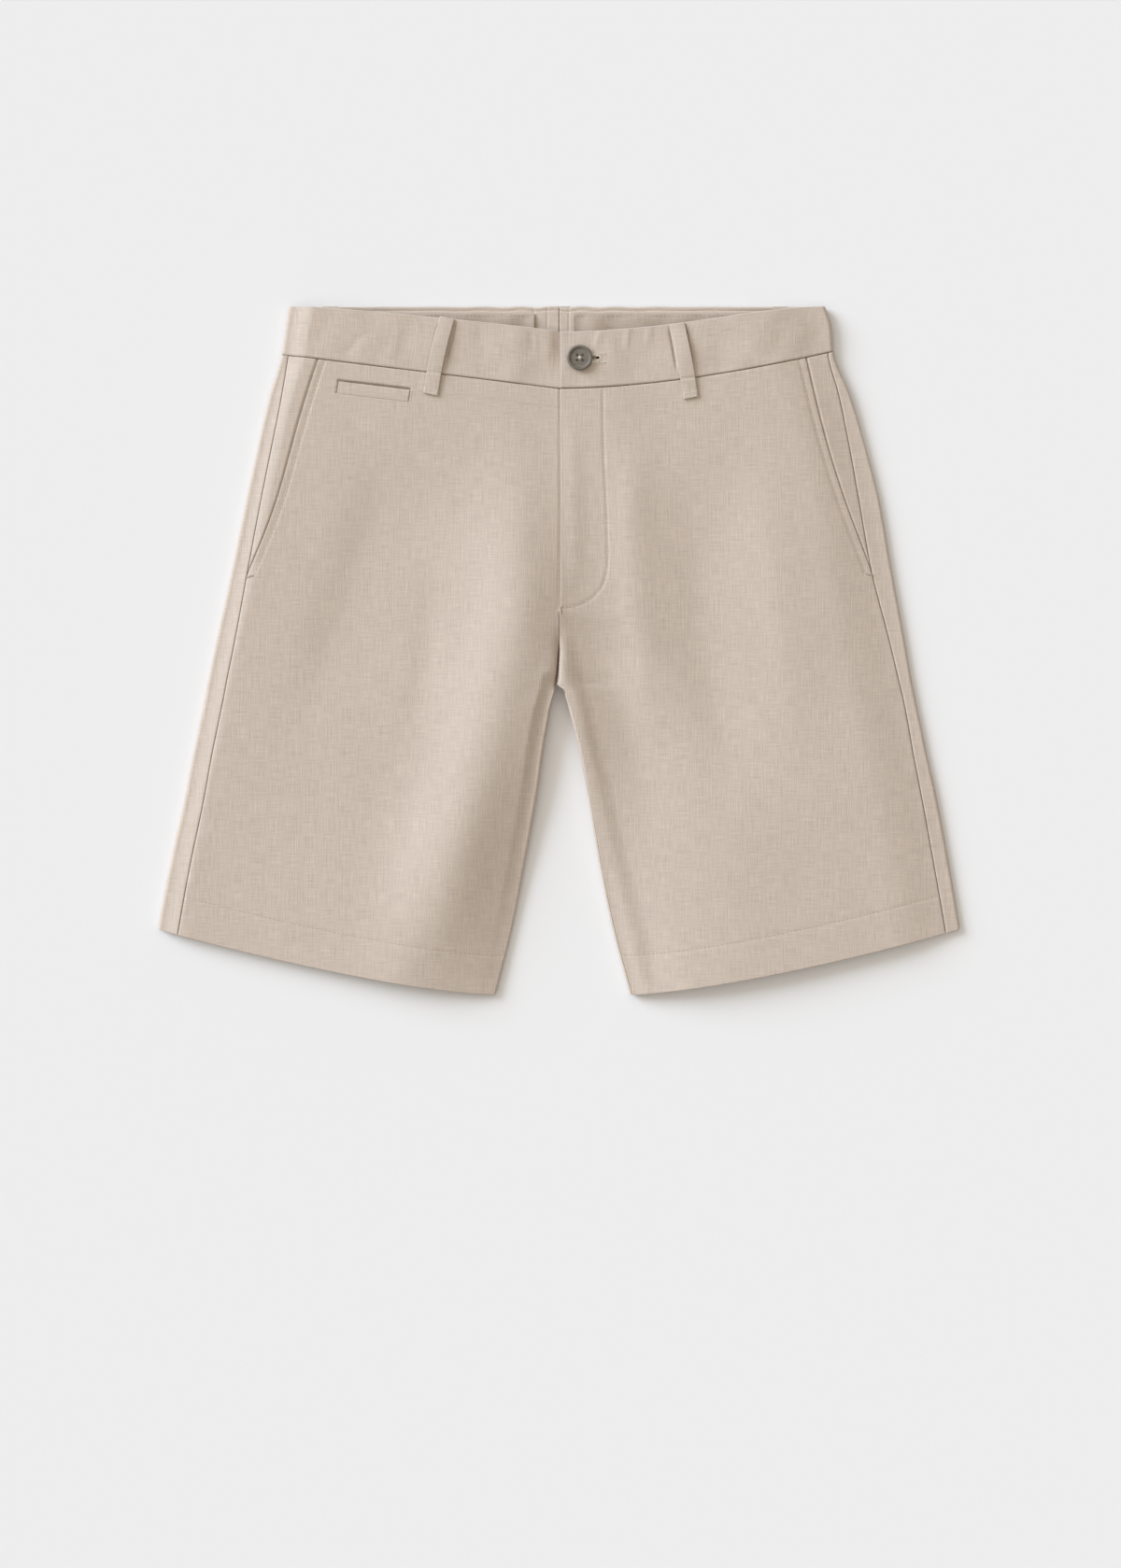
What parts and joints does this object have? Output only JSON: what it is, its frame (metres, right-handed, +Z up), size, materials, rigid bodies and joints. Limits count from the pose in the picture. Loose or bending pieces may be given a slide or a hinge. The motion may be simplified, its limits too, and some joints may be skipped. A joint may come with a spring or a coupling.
{
  "type": "bermuda shorts",
  "caption": "Woven linen bermuda shorts laid flat, front up, with a buttoned waistband, closed fly, belt loops, slant side pockets, a coin pocket and turned-up hems.",
  "frame": {"origin": "middle of the garment's footprint, on the surface it lies on", "axes": "+X towards the wearer's left leg, +Y towards the waist, +Z up out of the front"},
  "size_m": [0.603, 0.5181, 0.0215],
  "materials": {
    "linen": "woven linen, matte",
    "facing": "woven linen, matte",
    "button_horn": "polished, streaked like horn",
    "thread": "twisted sewing thread"
  },
  "bodies": {
    "root": {"front_right": "linen", "front_left": "linen", "back_right": "linen", "back_left": "linen", "waistband_right": "linen", "waistband_left": "linen", "waistband_facing_right": "facing", "waistband_facing_left": "facing", "pocket_facing_right": "linen", "pocket_facing_left": "linen", "coin_pocket_welt": "linen", "belt_loop_front_right": "linen", "belt_loop_front_left": "linen", "belt_loop_side_right": "linen", "belt_loop_side_left": "linen", "belt_loop_centre_back": "linen", "button": "button_horn", "button_thread": "thread"}
  },
  "joints": []
}
